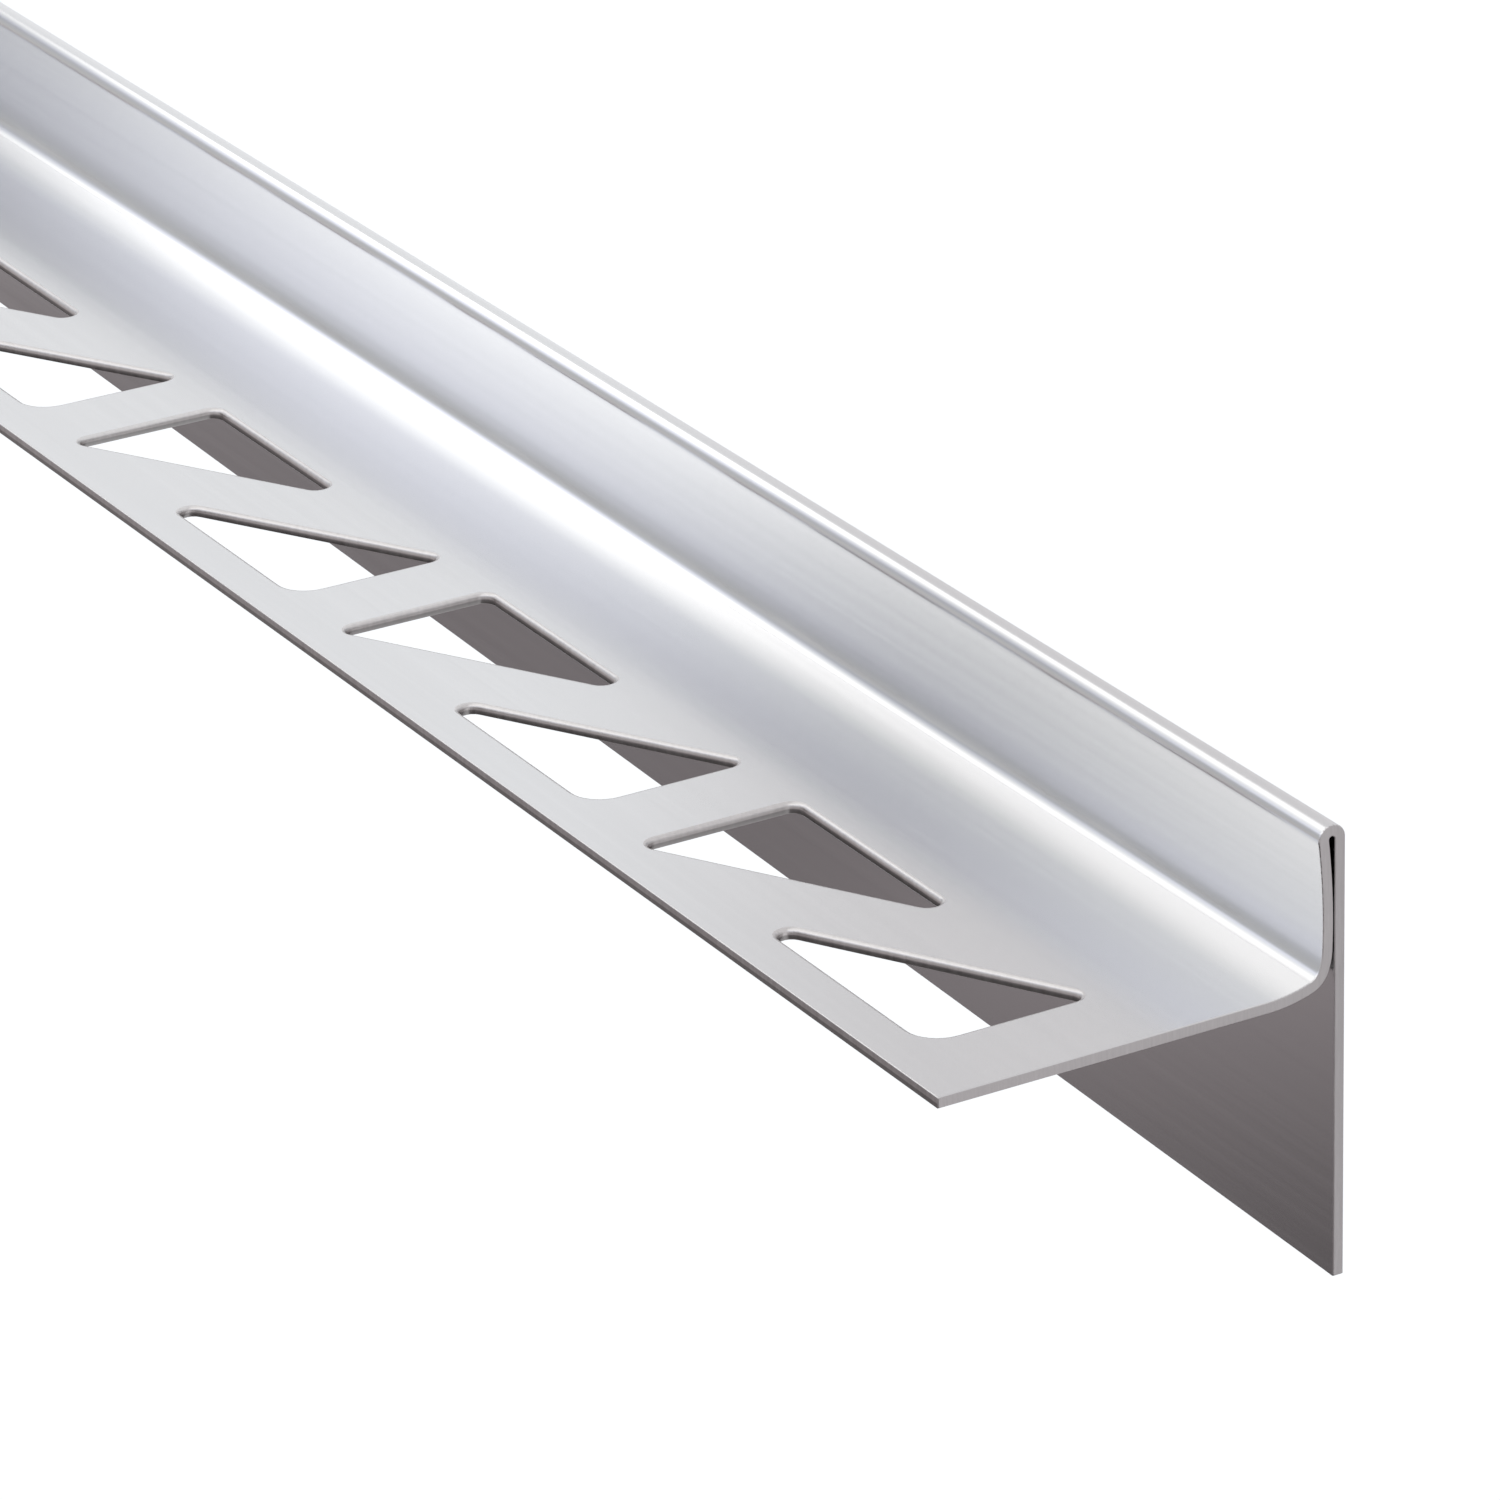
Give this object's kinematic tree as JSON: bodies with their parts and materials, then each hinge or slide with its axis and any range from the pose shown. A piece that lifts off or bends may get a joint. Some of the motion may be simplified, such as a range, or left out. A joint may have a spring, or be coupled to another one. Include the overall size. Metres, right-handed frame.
{
  "type": "shower slope wedge profile",
  "caption": "Folded stainless trim strip with a hemmed rim, a punched anchoring leg and a tapering wall that closes the side of a sloping shower floor.",
  "frame": {"origin": "middle of the bounding box's bottom, on the level that the flat outer face lies on", "axes": "+X along the length to the deep end of the wedge, +Y across the wall from the wedge's foot to the hem, +Z out along the punched leg"},
  "size_m": [1, 0.0318, 0.03],
  "materials": {
    "stainless": "brushed along the length"
  },
  "bodies": {
    "root": {"wedge_profile": "stainless"}
  },
  "joints": []
}
